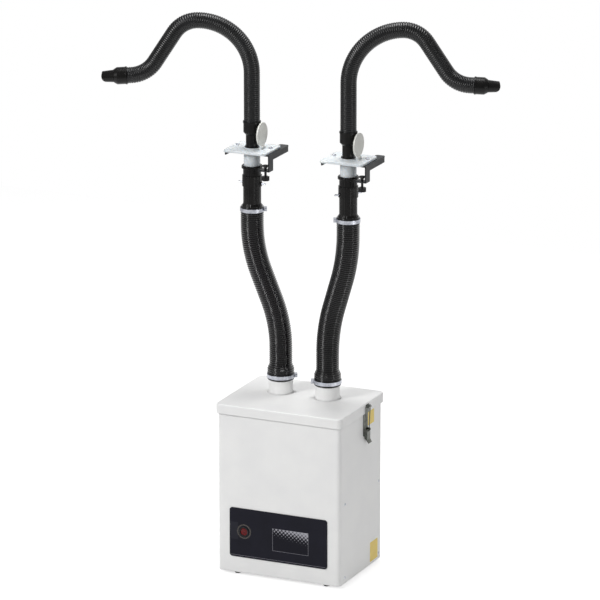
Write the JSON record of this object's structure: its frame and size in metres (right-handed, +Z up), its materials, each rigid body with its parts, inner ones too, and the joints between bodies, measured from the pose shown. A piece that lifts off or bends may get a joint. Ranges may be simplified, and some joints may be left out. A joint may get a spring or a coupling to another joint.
{
  "type": "fume extractor",
  "caption": "Bench-side fume extractor: white filter cabinet with latched lid, ribbed hoses to bench clamp plates and stay-put arms with oblique nozzles.",
  "frame": {"origin": "on the floor under the middle of the cabinet", "axes": "+Z up, front with the control panel towards -Y, +X to the right seen from the front"},
  "size_m": [0.9292, 0.3238, 1.3928],
  "materials": {
    "white_coat": "textured powder coat",
    "navy_panel": "satin film",
    "red_switch": "gloss",
    "black_trim": "satin",
    "steel": "brushed",
    "galvanised": "zinc coated",
    "black_coat": "powder coat",
    "hose_gloss": "gloss",
    "hose_satin": "satin",
    "clear_white": "translucent",
    "cream_plastic": "satin",
    "rubber": "matte",
    "foam": "matte",
    "filter_paper": "matte",
    "carbon": "granular",
    "motor_alloy": "cast"
  },
  "bodies": {
    "cabinet": {"cabinet_shell": "white_coat", "base_pan": "white_coat", "rear_panel": "white_coat", "lid": "white_coat", "lid_seal": "rubber", "spigots": "white_coat", "shelf": "galvanised", "gas_filter": "carbon", "particle_filter": "filter_paper", "prefilter": "filter_paper", "filter_gasket": "foam", "blower_housing": "galvanised", "motor": "motor_alloy", "power_inlet": "black_trim", "control_panel": "navy_panel", "switch_bezel": "black_trim", "feet": "rubber", "panel_screws": "steel", "latch_plates": "steel", "latch_keepers": "steel", "hose_clips": "steel", "plate_fasteners": "steel", "lower_hose_left": "hose_gloss", "lower_hose_right": "hose_gloss", "valve_cuff_left": "black_trim", "valve_cuff_right": "black_trim", "mount_plate_left": "clear_white", "mount_plate_right": "clear_white", "bench_bracket_left": "black_coat", "bench_bracket_right": "black_coat"},
    "rocker": {"switch_rocker": "red_switch"},
    "blower_wheel": {"impeller": "black_trim"},
    "latch_lever_left": {"latch_lever_left": "steel"},
    "latch_bail_left": {"latch_bail_left": "steel"},
    "latch_lever_right": {"latch_lever_right": "steel"},
    "latch_bail_right": {"latch_bail_right": "steel"},
    "arm_base_left": {"arm_cuff_left": "black_trim", "arm_hose_riser_left": "hose_satin", "arm_flex_low_left": "hose_satin"},
    "arm_arch_left": {"arm_hose_arch_left": "hose_satin", "arm_flex_high_left": "hose_satin"},
    "arm_tip_left": {"arm_hose_tip_left": "hose_satin", "nozzle_collar_left": "black_trim"},
    "arm_nozzle_left": {"nozzle_left": "black_trim"},
    "cover_flap_left": {"flap_left": "cream_plastic"},
    "damper_left": {"valve_damper_left": "steel"},
    "jaw_pad_left": {"clamp_pad_left": "rubber"},
    "jaw_screw_left": {"clamp_screw_left": "black_trim"},
    "arm_base_right": {"arm_cuff_right": "black_trim", "arm_hose_riser_right": "hose_satin", "arm_flex_low_right": "hose_satin"},
    "arm_arch_right": {"arm_hose_arch_right": "hose_satin", "arm_flex_high_right": "hose_satin"},
    "arm_tip_right": {"arm_hose_tip_right": "hose_satin", "nozzle_collar_right": "black_trim"},
    "arm_nozzle_right": {"nozzle_right": "black_trim"},
    "cover_flap_right": {"flap_right": "cream_plastic"},
    "damper_right": {"valve_damper_right": "steel"},
    "jaw_pad_right": {"clamp_pad_right": "rubber"},
    "jaw_screw_right": {"clamp_screw_right": "black_trim"}
  },
  "joints": [
    {"name": "switch_rock", "type": "hinge", "parent": "cabinet", "child": "rocker", "pos_m": [-0.092, -0.126, 0.117], "axis": [1, 0, 0], "range_deg": [-14, 0]},
    {"name": "impeller_spin", "type": "hinge", "parent": "cabinet", "child": "blower_wheel", "pos_m": [-0.02, 0.005, 0.15], "axis": [0, 0, 1], "continuous": true},
    {"name": "latch_lever_turn_left", "type": "hinge", "parent": "cabinet", "child": "latch_lever_left", "pos_m": [-0.17, 0.025, 0.368], "axis": [0, 1, 0], "range_deg": [0, 110]},
    {"name": "latch_bail_turn_left", "type": "hinge", "parent": "latch_lever_left", "child": "latch_bail_left", "pos_m": [-0.16861, 0.025, 0.3581], "axis": [0, 1, 0], "range_deg": [-102, 0]},
    {"name": "latch_lever_turn_right", "type": "hinge", "parent": "cabinet", "child": "latch_lever_right", "pos_m": [0.17, 0.025, 0.368], "axis": [0, -1, 0], "range_deg": [0, 110]},
    {"name": "latch_bail_turn_right", "type": "hinge", "parent": "latch_lever_right", "child": "latch_bail_right", "pos_m": [0.16861, 0.025, 0.3581], "axis": [0, -1, 0], "range_deg": [-102, 0]},
    {"name": "arm_swivel_left", "type": "hinge", "parent": "cabinet", "child": "arm_base_left", "pos_m": [-0.128, 0, 1.056], "axis": [0, 0, 1], "range_deg": [-90, 90]},
    {"name": "arm_bend_low_left", "type": "hinge", "parent": "arm_base_left", "child": "arm_arch_left", "pos_m": [-0.128, 0, 1.224], "axis": [0.4131, -0.9107, 0], "range_deg": [-25, 25], "deforming": ["arm_flex_low_left"]},
    {"name": "arm_bend_high_left", "type": "hinge", "parent": "arm_arch_left", "child": "arm_tip_left", "pos_m": [-0.31992, -0.08706, 1.30622], "axis": [0.4131, -0.9107, 0], "range_deg": [-30, 30], "deforming": ["arm_flex_high_left"]},
    {"name": "nozzle_turn_left", "type": "hinge", "parent": "arm_tip_left", "child": "arm_nozzle_left", "pos_m": [-0.42022, -0.13256, 1.23569], "axis": [-0.9094, -0.4125, -0.0523], "range_deg": [-90, 90]},
    {"name": "flap_turn_left", "type": "hinge", "parent": "cabinet", "child": "cover_flap_left", "pos_m": [-0.101, 0, 1.0605], "axis": [0, 1, 0], "range_deg": [0, 80]},
    {"name": "damper_turn_left", "type": "hinge", "parent": "cabinet", "child": "damper_left", "pos_m": [-0.128, 0, 0.968], "axis": [1, 0, 0], "range_deg": [0, 90]},
    {"name": "clamp_feed_left", "type": "slide", "parent": "cabinet", "child": "jaw_pad_left", "axis": [0, 0, 1], "range_m": [0, 0.012]},
    {"name": "clamp_turn_left", "type": "hinge", "parent": "jaw_pad_left", "child": "jaw_screw_left", "pos_m": [-0.08, -0.026, 1], "axis": [0, 0, 1], "range_deg": [0, 4320]},
    {"name": "arm_swivel_right", "type": "hinge", "parent": "cabinet", "child": "arm_base_right", "pos_m": [0.128, 0, 1.056], "axis": [0, 0, 1], "range_deg": [-90, 90]},
    {"name": "arm_bend_low_right", "type": "hinge", "parent": "arm_base_right", "child": "arm_arch_right", "pos_m": [0.128, 0, 1.224], "axis": [-0.4131, 0.9107, 0], "range_deg": [-25, 25], "deforming": ["arm_flex_low_right"]},
    {"name": "arm_bend_high_right", "type": "hinge", "parent": "arm_arch_right", "child": "arm_tip_right", "pos_m": [0.31992, 0.08706, 1.30622], "axis": [-0.4131, 0.9107, 0], "range_deg": [-30, 30], "deforming": ["arm_flex_high_right"]},
    {"name": "nozzle_turn_right", "type": "hinge", "parent": "arm_tip_right", "child": "arm_nozzle_right", "pos_m": [0.42022, 0.13256, 1.23569], "axis": [0.9094, 0.4125, -0.0523], "range_deg": [-90, 90]},
    {"name": "flap_turn_right", "type": "hinge", "parent": "cabinet", "child": "cover_flap_right", "pos_m": [0.155, 0, 1.0605], "axis": [0, 1, 0], "range_deg": [0, 80]},
    {"name": "damper_turn_right", "type": "hinge", "parent": "cabinet", "child": "damper_right", "pos_m": [0.128, 0, 0.968], "axis": [0.6587, 0.7524, 0], "range_deg": [0, 90]},
    {"name": "clamp_feed_right", "type": "slide", "parent": "cabinet", "child": "jaw_pad_right", "axis": [0, 0, 1], "range_m": [0, 0.012]},
    {"name": "clamp_turn_right", "type": "hinge", "parent": "jaw_pad_right", "child": "jaw_screw_right", "pos_m": [0.176, -0.026, 1], "axis": [0, 0, 1], "range_deg": [0, 4320]}
  ],
  "couplings": [
    {"joint": "latch_bail_turn_left", "follows": "latch_lever_turn_left", "ratio": -0.92},
    {"joint": "latch_bail_turn_right", "follows": "latch_lever_turn_right", "ratio": -0.92},
    {"joint": "clamp_feed_left", "follows": "clamp_turn_left", "m_per_rad": 0.00015915},
    {"joint": "clamp_feed_right", "follows": "clamp_turn_right", "m_per_rad": 0.00015915}
  ]
}
